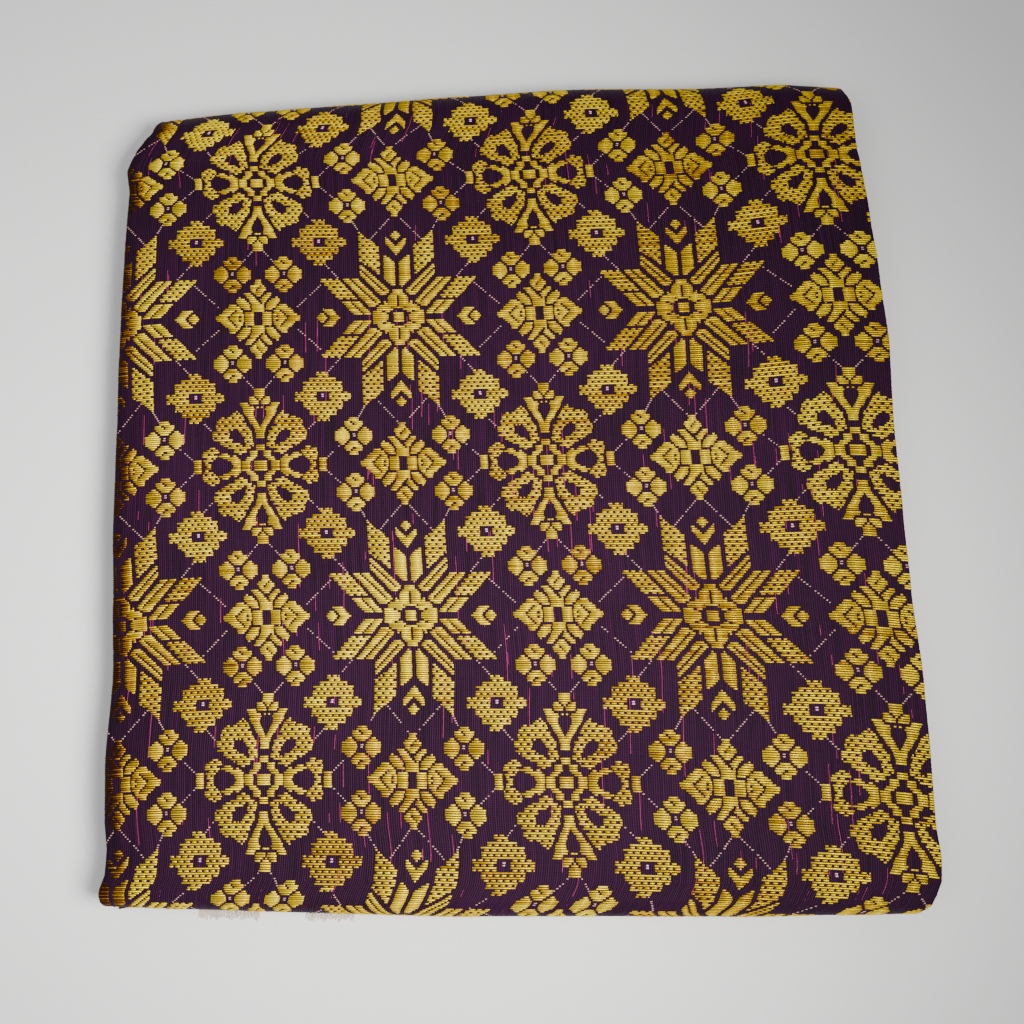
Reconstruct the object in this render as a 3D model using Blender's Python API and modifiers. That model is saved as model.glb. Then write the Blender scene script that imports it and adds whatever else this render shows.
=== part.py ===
"""Folded songket cloth: one long strip folded back and forth into eight layers.

Units are metres, +Z is up and the front fold faces -Y.  The strip is the whole
cloth laid four plies thick, so its sheet is thicker than a single ply.
Tables hold millimetres; MM turns them into metres.
"""
import math
from collections import namedtuple

import bmesh
import bpy
from mathutils import Vector

MM = 0.001

SHEET = 2.3 * MM
PITCH = 3.2 * MM
LAYERS = 8
FRONT_Y = -157.0 * MM
BACK_Y = 152.0 * MM

# Rounding of the sides and cut ends: thickness share at a distance in from the edge.
Rim = namedtuple("Rim", "inset thick")
RIM = (
    Rim(inset=0.00, thick=0.40),
    Rim(inset=0.26, thick=0.80),
    Rim(inset=0.80, thick=1.00),
)

# How much the layers press together along the edges, and how far in it reaches.
PRESS = 0.165
PRESS_LEFT = 8.0 * MM
PRESS_RIGHT = 8.0 * MM
PRESS_FRONT = 12.0 * MM
PRESS_BACK = 26.0 * MM
RIPPLE = 0.016

ACROSS_SHARES = (0.05, 0.14, 0.27, 0.42, 0.58, 0.73, 0.86, 0.95)
RUN_STEPS = 13
TURN_STEPS_MIN = 8
TURN_STEPS_PER_LAYER = 1

# Side outline seen from above: depth is along Y, left and right along X.
Side = namedtuple("Side", "depth left right")
SIDES = (
    Side(depth=-160.0, left=-154.4, right=114.0),
    Side(depth=-156.0, left=-155.6, right=119.5),
    Side(depth=-152.0, left=-155.4, right=126.4),
    Side(depth=-146.0, left=-153.4, right=129.4),
    Side(depth=-138.0, left=-153.2, right=129.8),
    Side(depth=-126.0, left=-155.0, right=128.5),
    Side(depth=-104.0, left=-156.4, right=128.2),
    Side(depth=-78.0, left=-155.8, right=127.3),
    Side(depth=-50.0, left=-158.0, right=125.0),
    Side(depth=-20.0, left=-160.4, right=123.6),
    Side(depth=15.0, left=-161.8, right=122.1),
    Side(depth=42.0, left=-163.2, right=122.2),
    Side(depth=70.0, left=-164.1, right=120.0),
    Side(depth=95.0, left=-164.6, right=117.6),
    Side(depth=112.0, left=-164.5, right=115.6),
    Side(depth=122.0, left=-166.3, right=114.1),
    Side(depth=130.0, left=-163.0, right=113.7),
    Side(depth=138.0, left=-157.6, right=113.3),
    Side(depth=146.0, left=-156.4, right=110.4),
    Side(depth=156.0, left=-156.0, right=103.0),
)

# Front and back fold lines: across runs 0 to 1 from left to right.
Line = namedtuple("Line", "across front back")
LINES = (
    Line(across=0.00, front=1.2, back=-5.5),
    Line(across=0.12, front=0.4, back=-3.0),
    Line(across=0.30, front=-0.4, back=-1.2),
    Line(across=0.45, front=-1.0, back=0.4),
    Line(across=0.62, front=-0.4, back=1.6),
    Line(across=0.80, front=0.0, back=-0.2),
    Line(across=0.92, front=0.9, back=0.2),
    Line(across=1.00, front=1.6, back=-2.2),
)

# Cut ends of the strip, under the front fold: inset behind the front line.
End = namedtuple("End", "across first last")
ENDS = (
    End(across=0.00, first=-0.8, last=-0.2),
    End(across=0.05, first=2.2, last=2.4),
    End(across=0.24, first=2.2, last=2.8),
    End(across=0.38, first=3.0, last=3.4),
    End(across=0.55, first=4.2, last=4.2),
    End(across=0.80, first=5.0, last=4.4),
    End(across=1.00, first=6.2, last=5.2),
)

# Order of the layers along the strip, 1 at the bottom, with each layer's sides
# set in from the outline.
Run = namedtuple("Run", "layer left_in right_in")
RUNS = (
    Run(layer=1, left_in=1.3, right_in=0.3),
    Run(layer=8, left_in=0.0, right_in=0.9),
    Run(layer=5, left_in=1.5, right_in=2.0),
    Run(layer=4, left_in=0.7, right_in=0.9),
    Run(layer=3, left_in=2.0, right_in=1.6),
    Run(layer=6, left_in=0.5, right_in=0.2),
    Run(layer=7, left_in=1.1, right_in=1.8),
    Run(layer=2, left_in=0.3, right_in=1.3),
)

# Front turns: inset of the turn's outer skin behind the front line.
FRONT_INSET = {(8, 5): 0.0, (4, 3): 4.6, (6, 7): PITCH / MM}
BACK_CENTRE = (LAYERS - 1) * PITCH / 2 + SHEET / 2

# Loose ends of pale thread beyond the first cut end, lying on the floor.
Fringe = namedtuple("Fringe", "node start stop strands length lean")
FRINGES = (
    Fringe(node="fringe_left", start=0.104, stop=0.184, strands=22, length=4.5, lean=0.10),
    Fringe(node="fringe_right", start=0.246, stop=0.308, strands=16, length=4.0, lean=-0.14),
)
STRIP_DEPTH = 1.1 * MM
STRIP_HEIGHT = 0.5 * MM
STRIP_GAP = 0.3 * MM
STRAND_SHARE = 0.52

# A spot on the strip's side view: where it is, how far its sides are set in, its
# share of the first and last cut ends' insets, and its share of the thickness.
Spot = namedtuple("Spot", "depth height left_in right_in first last thick")

CLOTH_COLOR = (0.045, 0.014, 0.062, 1.0)
THREAD_COLOR = (0.72, 0.66, 0.55, 1.0)


def read_table(rows, key, column, where):
    """Return a column of a table at a place along its key, smoothly joined."""
    if where <= getattr(rows[0], key):
        return getattr(rows[0], column)
    for low, high in zip(rows, rows[1:]):
        start = getattr(low, key)
        stop = getattr(high, key)
        if where <= stop:
            share = (where - start) / (stop - start)
            share = share * share * (3.0 - 2.0 * share) * 0.5 + share * 0.5
            return getattr(low, column) * (1.0 - share) + getattr(high, column) * share
    return getattr(rows[-1], column)


def layer_height(layer):
    """Mid height of a layer before the edges are pressed down."""
    return SHEET / 2 + (layer - 1) * PITCH


def run_ends():
    """Return where each layer's flat run starts and stops in depth, None at a cut end."""
    stops = []
    for index, (here, after) in enumerate(zip(RUNS, RUNS[1:])):
        radius = abs(here.layer - after.layer) * PITCH / 2
        if index % 2 == 0:
            stops.append(BACK_Y - BACK_CENTRE)
        else:
            inset = FRONT_INSET[(here.layer, after.layer)] * MM
            stops.append(FRONT_Y + inset + radius + SHEET / 2)
    return [None] + stops + [None]


def run_shares(length, at_first, at_last):
    """Return places along a flat run with the thickness there, closer at a cut end."""
    shares = [(step / RUN_STEPS, 1.0) for step in range(RUN_STEPS + 1)]
    rounding = [(rim.inset * MM / length, rim.thick) for rim in RIM]
    if at_first:
        shares = rounding + shares[1:]
    if at_last:
        shares = shares[:-1] + [(1.0 - share, thick) for share, thick in reversed(rounding)]
    return shares


def strip_path():
    """Return the strip's side view as spots from its first cut end to its last."""
    stops = run_ends()
    path = []
    for index, run in enumerate(RUNS):
        height = layer_height(run.layer)
        start = FRONT_Y if stops[index] is None else stops[index]
        stop = FRONT_Y if stops[index + 1] is None else stops[index + 1]
        at_first = stops[index] is None
        at_last = stops[index + 1] is None
        for share, thick in run_shares(abs(stop - start), at_first, at_last):
            depth = start + (stop - start) * share
            first = 1.0 - share if at_first else 0.0
            last = share if at_last else 0.0
            path.append(Spot(depth, height, run.left_in, run.right_in, first, last, thick))
        if index + 1 < len(RUNS):
            path.extend(turn_points(run, RUNS[index + 1], stop, index % 2 == 0))
    return path


def turn_points(here, after, centre, at_back):
    """Return the points of a half circle between two layers, without its ends."""
    low = layer_height(here.layer)
    high = layer_height(after.layer)
    radius = abs(high - low) / 2
    steps = TURN_STEPS_MIN + TURN_STEPS_PER_LAYER * abs(here.layer - after.layer)
    points = []
    for step in range(1, steps):
        angle = math.pi * step / steps
        share = step / steps
        reach = radius * math.sin(angle)
        depth = centre + reach if at_back else centre - reach
        height = (low + high) / 2 - (high - low) / 2 * math.cos(angle)
        left_in = here.left_in * (1 - share) + after.left_in * share
        right_in = here.right_in * (1 - share) + after.right_in * share
        points.append(Spot(depth, height, left_in, right_in, 0.0, 0.0, 1.0))
    return points


def across_lines():
    """Return the lengthwise lines from left to right: share, inset and thickness."""
    left = [(0.0, rim.inset * MM, rim.thick) for rim in RIM]
    right = [(1.0, -rim.inset * MM, rim.thick) for rim in reversed(RIM)]
    return left + [(share, 0.0, 1.0) for share in ACROSS_SHARES] + right


def press_factor(across, width, depth):
    """How far the layers keep their pitch here: 1 in the middle, less at the edges."""
    left = math.exp(-across * width / PRESS_LEFT)
    right = math.exp(-(1 - across) * width / PRESS_RIGHT)
    front = math.exp(-max(depth - FRONT_Y, 0.0) / PRESS_FRONT)
    back = math.exp(-max(BACK_Y - depth, 0.0) / PRESS_BACK)
    pressed = 1 - (1 - 0.9 * left) * (1 - 0.8 * right) * (1 - 0.35 * front) * (1 - 0.9 * back)
    ripple = math.sin(9.0 * across + 1.1) * math.sin(depth / MM / 41.0 + 2.0 * across)
    return 1 - PRESS * pressed - RIPPLE * (0.5 + 0.5 * ripple) * (1 - pressed)


def place(across, spot):
    """Return the strip's mid surface at a spot, with the outline and the press in it."""
    along = (spot.depth - FRONT_Y) / (BACK_Y - FRONT_Y)
    front = read_table(LINES, "across", "front", across) * MM
    back = read_table(LINES, "across", "back", across) * MM
    y = spot.depth + front * (1 - along) + back * along
    y += read_table(ENDS, "across", "first", across) * MM * spot.first
    y += read_table(ENDS, "across", "last", across) * MM * spot.last
    left = (read_table(SIDES, "depth", "left", y / MM) + spot.left_in) * MM
    right = (read_table(SIDES, "depth", "right", y / MM) - spot.right_in) * MM
    x = left + (right - left) * across
    factor = press_factor(across, right - left, spot.depth)
    z = SHEET / 2 + (spot.height - SHEET / 2) * factor
    return Vector((x, y, z))


def new_material(name, color, roughness):
    """Return a Principled material of one colour and roughness."""
    material = bpy.data.materials.new(name)
    material.use_nodes = True
    shader = material.node_tree.nodes["Principled BSDF"]
    shader.inputs["Base Color"].default_value = color
    shader.inputs["Roughness"].default_value = roughness
    shader.inputs["Metallic"].default_value = 0.0
    material.diffuse_color = color
    return material


def new_object(name, build, material, collection):
    """Return a named object whose mesh is made by the given function."""
    mesh = bpy.data.meshes.new(name)
    cage = bmesh.new()
    build(cage)
    cage.to_mesh(mesh)
    cage.free()
    mesh.materials.append(material)
    item = bpy.data.objects.new(name, mesh)
    collection.objects.link(item)
    return item


def build_strip(cage):
    """Loft the strip's mid surface from its side view and its outline tables."""
    weights = cage.verts.layers.deform.verify()
    rows = []
    for spot in strip_path():
        row = []
        for across, inset, thick in across_lines():
            corner = cage.verts.new(place(across, spot) + Vector((inset, 0.0, 0.0)))
            corner[weights][0] = thick * spot.thick
            row.append(corner)
        rows.append(row)
    for here, after in zip(rows, rows[1:]):
        for step in range(len(here) - 1):
            cage.faces.new((here[step], here[step + 1], after[step + 1], after[step]))


def add_cloth(collection):
    """Build the folded strip as a shell that thins to a rounded rim."""
    material = new_material("songket_cloth", CLOTH_COLOR, 0.62)
    cloth = new_object("folded_cloth", build_strip, material, collection)
    cloth.vertex_groups.new(name="rim")
    shell = cloth.modifiers.new("thickness", "SOLIDIFY")
    shell.thickness = SHEET
    shell.offset = 0.0
    shell.vertex_group = "rim"
    for face in cloth.data.polygons:
        face.use_smooth = True
    return cloth


def strand_length(fringe, index):
    """Length of one loose thread, uneven from thread to thread."""
    return fringe.length * MM * (0.80 + 0.20 * math.sin(index * 2.4) * math.cos(index * 1.1))


def fringe_outline(fringe):
    """Return the comb outline of one fringe: its strip's back edge, then the threads."""
    count = fringe.strands
    cut_end = strip_path()[0]
    root = []
    for step in range(2 * count + 1):
        across = fringe.start + (fringe.stop - fringe.start) * step / (2 * count)
        edge = place(across, cut_end)
        root.append(Vector((edge.x, edge.y - STRIP_GAP)))
    outline = [root[0], root[-1]]
    for index in reversed(range(count)):
        middle = root[2 * index + 1]
        half = (root[2 * index + 2].x - root[2 * index].x) * STRAND_SHARE / 2
        length = strand_length(fringe, index)
        drift = fringe.lean * length + 0.18 * MM * math.sin(index * 1.7)
        for side, part in ((1, 0.0), (1, 0.5), (1, 1.0), (-1, 1.0), (-1, 0.5), (-1, 0.0)):
            x = middle.x + side * half + drift * part * part
            outline.append(Vector((x, middle.y - STRIP_DEPTH - length * part)))
    return outline


def add_fringe(fringe, material, collection):
    """Build one fringe as a flat comb of threads on a narrow strip, resting on the floor."""
    def build(cage):
        corners = [cage.verts.new((spot.x, spot.y, 0.0)) for spot in fringe_outline(fringe)]
        base = cage.faces.new(corners)
        bmesh.ops.recalc_face_normals(cage, faces=[base])
        if base.normal.z > 0:
            base.normal_flip()

    item = new_object(fringe.node, build, material, collection)
    body = item.modifiers.new("thickness", "SOLIDIFY")
    body.thickness = STRIP_HEIGHT
    body.offset = -1.0
    return item


def centre_on_floor(items):
    """Shift all meshes so the middle of their common box is over the origin."""
    bpy.context.view_layer.update()
    graph = bpy.context.evaluated_depsgraph_get()
    spots = []
    for item in items:
        shape = item.evaluated_get(graph)
        spots.extend(shape.matrix_world @ Vector(corner) for corner in shape.bound_box)
    low = [min(spot[axis] for spot in spots) for axis in range(3)]
    high = [max(spot[axis] for spot in spots) for axis in range(3)]
    middle = Vector(((low[0] + high[0]) / 2, (low[1] + high[1]) / 2, 0.0))
    for item in items:
        for vertex in item.data.vertices:
            vertex.co -= middle
    print("middle mm", [round(value / MM, 3) for value in middle])
    print("size mm", [round((b - a) / MM, 2) for a, b in zip(low, high)], "floor", low[2])


def main():
    """Build the cloth and its fringes in one collection."""
    for item in list(bpy.data.objects):
        bpy.data.objects.remove(item, do_unlink=True)
    collection = bpy.data.collections.new("folded_songket_cloth")
    bpy.context.scene.collection.children.link(collection)
    cloth = add_cloth(collection)
    thread = new_material("pale_thread", THREAD_COLOR, 0.75)
    fringes = [add_fringe(fringe, thread, collection) for fringe in FRINGES]
    centre_on_floor([cloth] + fringes)


main()
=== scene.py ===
"""Folded songket cloth: four plies of woven sheet in eight nested layers, with raised gold weft."""

import logging
import math
from dataclasses import dataclass, field
from enum import Enum
from typing import Iterable, NamedTuple, Sequence

import bpy
import numpy as np
from mathutils import Matrix, Vector


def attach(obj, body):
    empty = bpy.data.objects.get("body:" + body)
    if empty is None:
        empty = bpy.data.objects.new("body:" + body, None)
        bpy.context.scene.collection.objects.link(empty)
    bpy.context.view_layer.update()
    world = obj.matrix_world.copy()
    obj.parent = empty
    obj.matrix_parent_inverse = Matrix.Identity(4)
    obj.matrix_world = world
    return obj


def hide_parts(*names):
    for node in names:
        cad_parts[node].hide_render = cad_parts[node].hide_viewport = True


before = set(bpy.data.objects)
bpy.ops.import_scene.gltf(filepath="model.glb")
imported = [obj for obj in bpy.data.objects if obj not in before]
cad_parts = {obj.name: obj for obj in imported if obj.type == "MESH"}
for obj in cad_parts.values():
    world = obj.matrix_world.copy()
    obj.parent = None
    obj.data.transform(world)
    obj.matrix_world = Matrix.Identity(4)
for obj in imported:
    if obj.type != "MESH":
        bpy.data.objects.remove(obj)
LOG = logging.getLogger("songket")

MM = 0.001
MIDDLE = (-18.076, -3.512)
Points = tuple[tuple[float, float], ...]
Colour = tuple[float, float, float]


class Table:
    """A short table with named columns, read along its first one, smoothly joined."""

    def __init__(self, names: str, rows: Sequence[Sequence[float]]) -> None:
        """Keep the column names and the rows.

        Args:
            names: Column names, the first being the key.
            rows: Values, in rising order of the key.
        """
        self.names = names.split()
        self.data = np.array(rows, dtype=float)

    def read(self, column: str, where: np.ndarray) -> np.ndarray:
        """Read a column at places along the key.

        Args:
            column: Name of the column.
            where: Places along the key.

        Returns:
            The column's values there.
        """
        key = self.data[:, 0]
        value = self.data[:, self.names.index(column)]
        where = np.clip(where, key[0], key[-1])
        low = np.clip(np.searchsorted(key, where, side="left") - 1, 0, len(key) - 2)
        share = (where - key[low]) / (key[low + 1] - key[low])
        share = share * share * (3 - 2 * share) * 0.5 + share * 0.5
        return value[low] * (1 - share) + value[low + 1] * share


# Outline of the fold in mm: its two sides along the depth, and its front and back lines.
SIDES = Table("depth left right", (
    (-160, -154.4, 114.0), (-156, -155.6, 119.5), (-152, -155.4, 126.4), (-146, -153.4, 129.4),
    (-138, -153.2, 129.8), (-126, -155.0, 128.5), (-104, -156.4, 128.2), (-78, -155.8, 127.3),
    (-50, -158.0, 125.0), (-20, -160.4, 123.6), (15, -161.8, 122.1), (42, -163.2, 122.2),
    (70, -164.1, 120.0), (95, -164.6, 117.6), (112, -164.5, 115.6), (122, -166.3, 114.1),
    (130, -163.0, 113.7), (138, -157.6, 113.3), (146, -156.4, 110.4), (156, -156.0, 103.0)))
LINES = Table("across front back", (
    (0.00, 1.2, -5.5), (0.12, 0.4, -3.0), (0.30, -0.4, -1.2), (0.45, -1.0, 0.4),
    (0.62, -0.4, 1.6), (0.80, 0.0, -0.2), (0.92, 0.9, 0.2), (1.00, 1.6, -2.2)))
ENDS = Table("across first last", (
    (0.00, -0.8, -0.2), (0.05, 2.2, 2.4), (0.24, 2.2, 2.8), (0.38, 3.0, 3.4),
    (0.55, 4.2, 4.2), (0.80, 5.0, 4.4), (1.00, 6.2, 5.2)))


class Run(NamedTuple):
    """One layer in the order of the strip, with how far its sides are set in."""

    layer: int
    left_in: float
    right_in: float


RUNS = (Run(1, 1.3, 0.3), Run(8, 0.0, 0.9), Run(5, 1.5, 2.0), Run(4, 0.7, 0.9),
        Run(3, 2.0, 1.6), Run(6, 0.5, 0.2), Run(7, 1.1, 1.8), Run(2, 0.3, 1.3))
FRONT_INSET = {(8, 5): 0.0, (4, 3): 4.6, (6, 7): 3.2}
TOP_LAYER = 8


class Rim(NamedTuple):
    """How far one side of the pile is pressed: the share at its edge, and how far that reaches in mm."""

    share: float
    reach: float


RIMS = {"left": Rim(0.9, 8.0), "right": Rim(0.8, 8.0), "front": Rim(0.35, 12.0), "back": Rim(0.9, 26.0)}


@dataclass
class Strip:
    """The strip of four plies, folded back and forth, as a grid of points in mm."""

    sheet: float = 2.3
    pitch: float = 3.2
    front: float = -157.0
    back: float = 152.0
    press: float = 0.165
    ripple: float = 0.016
    width: float = 284.0
    ply: float = 0.42
    ply_pitch: float = 0.6
    top_steps: int = 64
    hidden_steps: int = 14
    top_stations: int = 48
    hidden_stations: int = 10
    left_turn: float = 1.15
    right_turn: float = 0.55
    first_edge: float = 1.0
    last_edge: float = 0.8
    wave_across: float = 9.0
    wave_depth: float = 41.0
    inner_shares: tuple[float, float] = (0.045, 0.955)
    fine_edge: tuple[float, ...] = (0.0, 0.5, 1.2, 2.2, 3.6, 5.5, 8.0)
    coarse_edge: tuple[float, ...] = (0.0, 1.5, 5.0)
    crease_fade: float = 0.18
    crease_floor: float = 4.0
    crease_depth: float = 19.0
    spots: np.ndarray = field(init=False)
    section: np.ndarray = field(init=False)
    face: slice = field(init=False)
    points: np.ndarray = field(init=False)
    normals: np.ndarray = field(init=False)
    along: np.ndarray = field(init=False)

    def __post_init__(self) -> None:
        """Work out the grid once."""
        self.spots = self.side_view()
        self.section, self.face = self.cross_section()
        keys, places = np.unique(self.section[:, 0].round(9), return_inverse=True)
        middle = self.place(keys, self.spots)
        down = unit(np.gradient(middle, axis=0))
        over = unit(np.gradient(middle, axis=1))
        out = unit(np.cross(down, over))
        beyond = self.section[:, 1][None, :, None]
        offset = self.section[:, 2][None, :, None]
        self.points = middle[:, places] + over[:, places] * beyond + out[:, places] * offset
        self.normals = unit(np.cross(np.gradient(self.points, axis=0), np.gradient(self.points, axis=1)))
        top_ply = 1.5 * self.ply_pitch
        line = (middle + out * top_ply)[:, len(keys) // 2]
        self.along = np.r_[0.0, np.cumsum(np.linalg.norm(np.diff(line, axis=0), axis=1))]

    def side_view(self) -> np.ndarray:
        """Walk the strip's side view, layer by layer and turn by turn.

        Returns:
            Rows of depth, height, left_in, right_in, first, last and run, which is
            whole on a flat run and between two runs on a turn.
        """
        centre = (len(RUNS) - 1) * self.pitch / 2 + self.sheet / 2
        stops: list[float | None] = [None]
        for index, (here, after) in enumerate(zip(RUNS, RUNS[1:])):
            radius = abs(here.layer - after.layer) * self.pitch / 2
            inset = FRONT_INSET.get((here.layer, after.layer), 0.0)
            in_front = self.front + inset + radius + self.sheet / 2
            stops.append(self.back - centre if index % 2 == 0 else in_front)
        stops.append(None)
        rows = []
        for index, run in enumerate(RUNS):
            height = self.layer_height(run.layer)
            start = self.front if stops[index] is None else stops[index]
            stop = self.front if stops[index + 1] is None else stops[index + 1]
            steps = self.top_steps if run.layer == TOP_LAYER else self.hidden_steps
            for step in range(steps + 1):
                share = step / steps
                first = 1 - share if stops[index] is None else 0.0
                last = share if stops[index + 1] is None else 0.0
                depth = start + (stop - start) * share
                rows.append((depth, height, run.left_in, run.right_in, first, last, index))
            if index + 1 < len(RUNS):
                rows.extend(self.turn(index, stop))
        return np.array(rows)

    def turn(self, index: int, stop: float) -> list[tuple[float, ...]]:
        """Half turn between two layers.

        Args:
            index: Place of the first layer in the order of the strip.
            stop: Depth where the turn starts.

        Returns:
            Its rows, in the columns of side_view.
        """
        here, after = RUNS[index], RUNS[index + 1]
        low, high = self.layer_height(here.layer), self.layer_height(after.layer)
        steps = 10 + 2 * abs(after.layer - here.layer)
        reach = abs(high - low) / 2 * (1 if index % 2 == 0 else -1)
        rows = []
        for step in range(1, steps):
            share = step / steps
            angle = math.pi * share
            depth = stop + reach * math.sin(angle)
            height = (low + high) / 2 - (high - low) / 2 * math.cos(angle)
            left_in = here.left_in * (1 - share) + after.left_in * share
            right_in = here.right_in * (1 - share) + after.right_in * share
            rows.append((depth, height, left_in, right_in, 0.0, 0.0, index + share))
        return rows

    def layer_height(self, layer: int) -> float:
        """Mid height of a layer before the edges are pressed down."""
        return self.sheet / 2 + (layer - 1) * self.pitch

    def cross_section(self) -> tuple[np.ndarray, slice]:
        """Lay the four plies across the width, one ply after another.

        Returns:
            Rows of across, beyond, offset and weft place, and the slice that is the
            showing ply with the turns on its two sides.
        """
        half = self.ply_pitch / 2
        left, right, hidden = self.left_turn, self.right_turn, self.hidden_stations
        rows = self.ply_stations(hidden, -3 * half, self.coarse_edge, self.first_edge, True)
        start = len(rows)
        rows += self.turn_stations(0.0, left, 3 * half, 0.0, steps=11, stretch=1.23, rising=True)
        rows += self.ply_stations(self.top_stations, 3 * half, self.fine_edge, right, False)
        rows += self.turn_stations(1.0, -right, half, self.ply_pitch, steps=7, stretch=1.7, rising=False)
        stop = len(rows)
        rows += self.ply_stations(hidden, half, self.coarse_edge, right, True)
        rows += self.turn_stations(0.0, left, half, 0.0, steps=6, stretch=0.0, rising=False)
        rows += self.ply_stations(hidden, -half, self.coarse_edge, self.last_edge, False)
        return np.array(rows), slice(start, stop)

    def ply_stations(self, count: int, offset: float, edge: Sequence[float], stop: float,
                     back: bool) -> list[tuple[float, ...]]:
        """Stations of one ply.

        Args:
            count: Number of stations between its edges.
            offset: Height over the middle of the plies.
            edge: Distances of its closer stations from each edge.
            stop: How far it ends before the right side.
            back: Whether it runs from right to left.

        Returns:
            Rows in the columns of cross_section.
        """
        spots = [(0.0, self.left_turn + e) for e in edge]
        spots += [(share, 0.0) for share in np.linspace(*self.inner_shares, count)]
        spots += [(1.0, -stop - e) for e in reversed(edge)]
        spots = spots[::-1] if back else spots
        return [(across, beyond, offset, across * self.width + beyond) for across, beyond in spots]

    def turn_stations(self, across: float, edge: float, radius: float, middle: float, steps: int,
                      stretch: float, rising: bool) -> list[tuple[float, ...]]:
        """Stations of the half turn that joins two plies.

        Args:
            across: Side of the strip, 0 on the left and 1 on the right.
            edge: Place beyond that side where the turn starts.
            radius: Radius of the turn.
            middle: Height of its middle.
            steps: Number of its steps.
            stretch: How far the cloth runs for each step of the arc.
            rising: Whether it goes up.

        Returns:
            Rows in the columns of cross_section.
        """
        side = 1 if across else -1
        rows = []
        for step in range(1, steps):
            turned = math.pi * step / steps
            angle = turned - math.pi / 2 if rising else math.pi / 2 - turned
            beyond, offset = edge + side * radius * math.cos(angle), middle + radius * math.sin(angle)
            weft = across * self.width + edge + side * radius * (math.pi / 2 - angle) * stretch
            rows.append((across, beyond, offset, weft))
        return rows

    def squeeze(self, across: np.ndarray, width: np.ndarray, depth: np.ndarray) -> np.ndarray:
        """Press the fold flat at its rim.

        Args:
            across: Shares of the width.
            width: Widths of the fold there, in mm.
            depth: Depths, in mm.

        Returns:
            The share of the height that is left.
        """
        inward = {"left": across * width, "right": (1 - across) * width,
                  "front": np.maximum(depth - self.front, 0), "back": np.maximum(self.back - depth, 0)}
        loose = 1.0
        for side, rim in RIMS.items():
            loose = loose * (1 - rim.share * np.exp(-inward[side] / rim.reach))
        wave = np.sin(self.wave_across * across + 1.1) * np.sin(depth / self.wave_depth + 2 * across)
        return 1 - self.press * (1 - loose) - self.ripple * (0.5 + 0.5 * wave) * loose

    def crease(self, x: np.ndarray, y: np.ndarray) -> np.ndarray:
        """Soft troughs and ridges of the top, as uneven as a cloth pressed by hand.

        Args:
            x: Places across, in mm.
            y: Depths, in mm.

        Returns:
            Heights, in mm.
        """
        lift = np.zeros_like(x)
        for row in CREASES:
            run = Vector((row.to_x - row.from_x, row.to_y - row.from_y))
            length = run.length
            ahead = ((x - row.from_x) * run.x + (y - row.from_y) * run.y) / length
            beside = ((y - row.from_y) * run.x - (x - row.from_x) * run.y) / length
            beside = beside - row.bend * np.sin(math.pi * np.clip(ahead / length, 0, 1))
            end = self.crease_fade * length
            fade = np.clip(ahead / end, 0, 1) * np.clip((length - ahead) / end, 0, 1)
            fade = fade * fade * (3 - 2 * fade)
            lift += row.lift * fade * np.exp(-(beside / row.spread) ** 2)
        return lift

    def place(self, across: np.ndarray, spots: np.ndarray) -> np.ndarray:
        """Mid surface of the strip.

        Args:
            across: Shares of the width, from left to right.
            spots: Rows of the side view.

        Returns:
            Points, one row for each spot, in mm from the middle.
        """
        depth, height, left_in, right_in, first, last = (spots[:, i:i + 1] for i in range(6))
        share = across[None, :]
        along = (depth - self.front) / (self.back - self.front)
        y = depth + LINES.read("front", share) * (1 - along) + LINES.read("back", share) * along
        y = y + ENDS.read("first", share) * first + ENDS.read("last", share) * last
        left = SIDES.read("left", y) + left_in
        right = SIDES.read("right", y) - right_in
        x = left + (right - left) * share
        z = self.sheet / 2 + (height - self.sheet / 2) * self.squeeze(share, right - left, depth + 0 * share)
        z = z + self.crease(x, y) * np.clip((height - self.crease_floor) / self.crease_depth, 0, 1) ** 2
        return np.stack([x - MIDDLE[0], y - MIDDLE[1], z], -1)

    def on_face(self, weft: np.ndarray, along: np.ndarray, lift: np.ndarray) -> np.ndarray:
        """Points on the showing ply.

        Args:
            weft: Places across, in mm of cloth from the left edge.
            along: Places along the strip, in mm of cloth.
            lift: Heights over the ply's outer face, in mm.

        Returns:
            Points in mm.
        """
        stations = self.section[self.face, 3]
        points, normals = self.points[:, self.face], self.normals[:, self.face]
        i = np.clip(np.searchsorted(self.along, along) - 1, 0, len(self.along) - 2)
        j = np.clip(np.searchsorted(stations, weft) - 1, 0, len(stations) - 2)
        a = ((along - self.along[i]) / (self.along[i + 1] - self.along[i]))[..., None]
        b = ((weft - stations[j]) / (stations[j + 1] - stations[j]))[..., None]

        def blend(values: np.ndarray) -> np.ndarray:
            """Mix of the four corners of each cell."""
            return ((values[i, j] * (1 - b) + values[i, j + 1] * b) * (1 - a)
                    + (values[i + 1, j] * (1 - b) + values[i + 1, j + 1] * b) * a)

        return blend(points) + unit(blend(normals)) * (self.ply / 2 + lift)[..., None]

    def open_spans(self) -> list[tuple[float, float]]:
        """Stretches along the strip whose whole width shows.

        Returns:
            Start and stop of the top with its turns, and of the small turn that shows in front.
        """
        run = self.spots[:, 6]
        spans = []
        for first, last, spare in ((0, 2, 0.0), (3, 4, 2.0)):
            inside = np.flatnonzero((run > first) & (run < last))
            spans.append((self.along[inside[0]] - spare, self.along[inside[-1]] + spare))
        return spans


class Crease(NamedTuple):
    """A soft fold in the top: its ends, height, half width and sideways bend, in mm."""

    from_x: float
    from_y: float
    to_x: float
    to_y: float
    lift: float
    spread: float
    bend: float


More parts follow.
